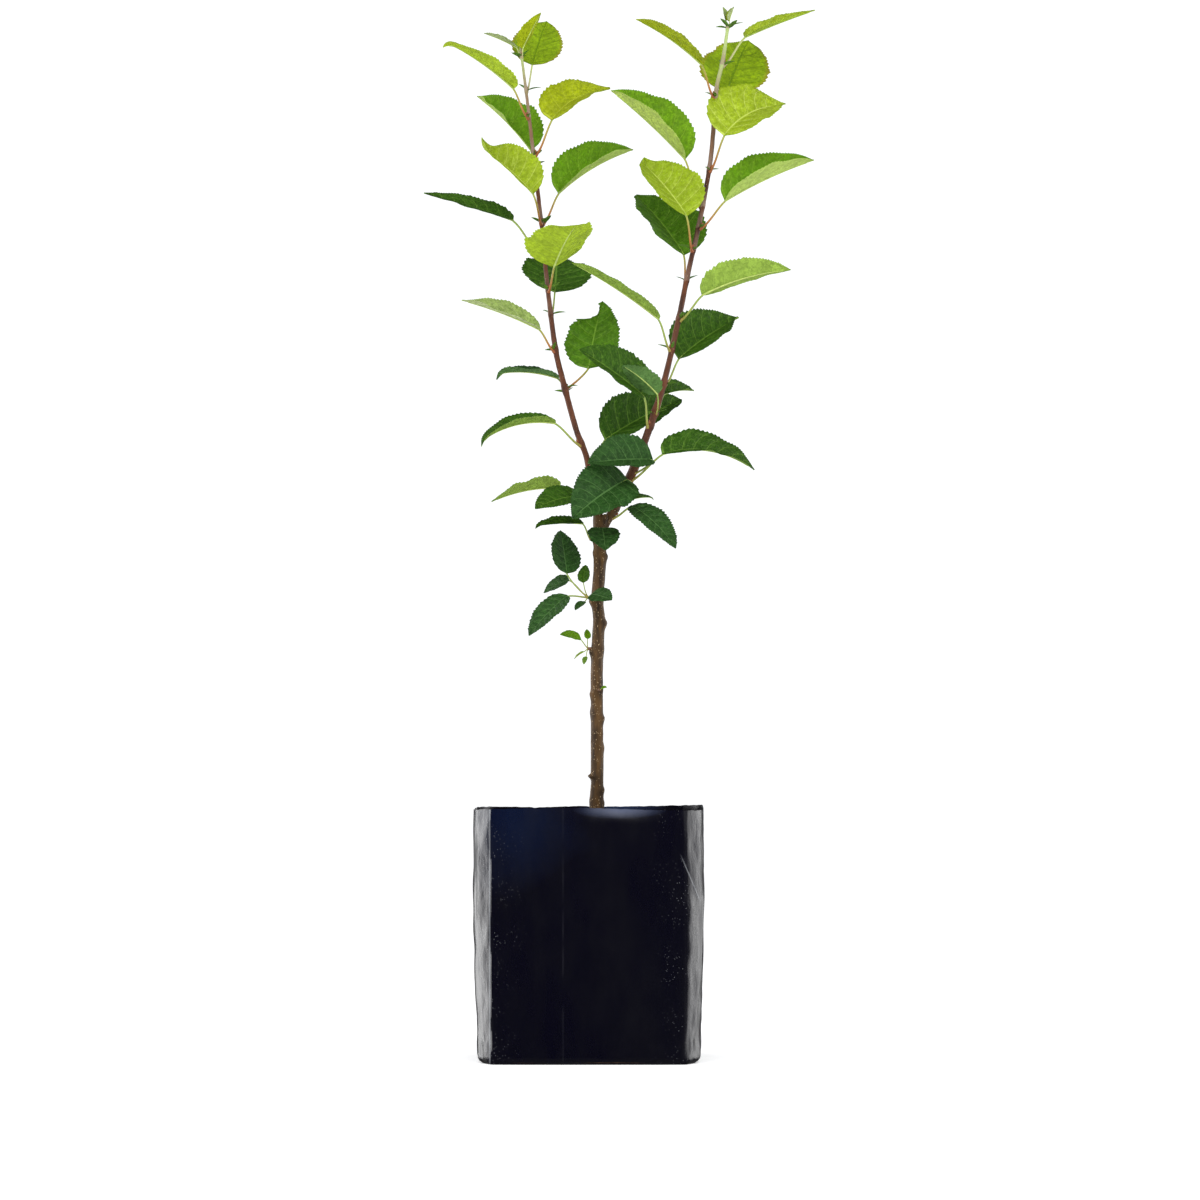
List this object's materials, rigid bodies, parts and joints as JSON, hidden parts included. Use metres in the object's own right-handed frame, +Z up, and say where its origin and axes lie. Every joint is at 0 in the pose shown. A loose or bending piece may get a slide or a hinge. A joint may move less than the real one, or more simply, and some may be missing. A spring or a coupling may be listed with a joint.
{
  "type": "young fruit tree in a planter bag",
  "caption": "Young dwarf apple tree with a slim trunk forking into two upright leafy leaders, growing in a square black planter bag filled with potting mix.",
  "frame": {"origin": "middle of the planter bag's flat underside, on the surface that it stands on", "axes": "+Z up along the trunk, +X to the right as the picture shows the tree, +Y away from the viewer"},
  "size_m": [0.3434, 0.2006, 0.9178],
  "materials": {
    "bag_film": "satin black polythene film",
    "potting_mix": "moist fibrous potting mix",
    "trunk_bark": "olive-brown bark with pale lenticels",
    "young_bark": "smooth reddish-brown young bark",
    "lime_leaf": "young yellow-green leaf",
    "pale_leaf": "pale leaf underside",
    "green_leaf": "mid-green leaf",
    "dark_leaf": "dark green leaf",
    "blue_green_leaf": "blue-green mature leaf"
  },
  "bodies": {
    "root": {"planter_bag": "bag_film", "potting_mix": "potting_mix", "trunk": "trunk_bark", "left_bough": "young_bark", "right_bough": "young_bark", "left_spray_1": "lime_leaf", "left_spray_2": "dark_leaf", "left_spray_3": "dark_leaf", "left_spray_4": "green_leaf", "left_spray_5": "pale_leaf", "left_spray_6": "dark_leaf", "left_spray_7": "lime_leaf", "right_spray_1": "blue_green_leaf", "right_spray_2": "blue_green_leaf", "right_spray_3": "dark_leaf", "right_spray_4": "pale_leaf", "right_spray_5": "dark_leaf", "right_spray_6": "pale_leaf", "right_spray_7": "pale_leaf", "right_spray_8": "dark_leaf", "trunk_spray_left": "dark_leaf", "trunk_spray_front": "dark_leaf", "trunk_spur_upper": "dark_leaf", "trunk_spur_lower": "lime_leaf", "trunk_bud_leaf": "lime_leaf", "left_shoot_middle": "green_leaf", "left_shoot_top": "lime_leaf", "right_shoot_middle": "green_leaf", "right_shoot_top": "lime_leaf"}
  },
  "joints": []
}
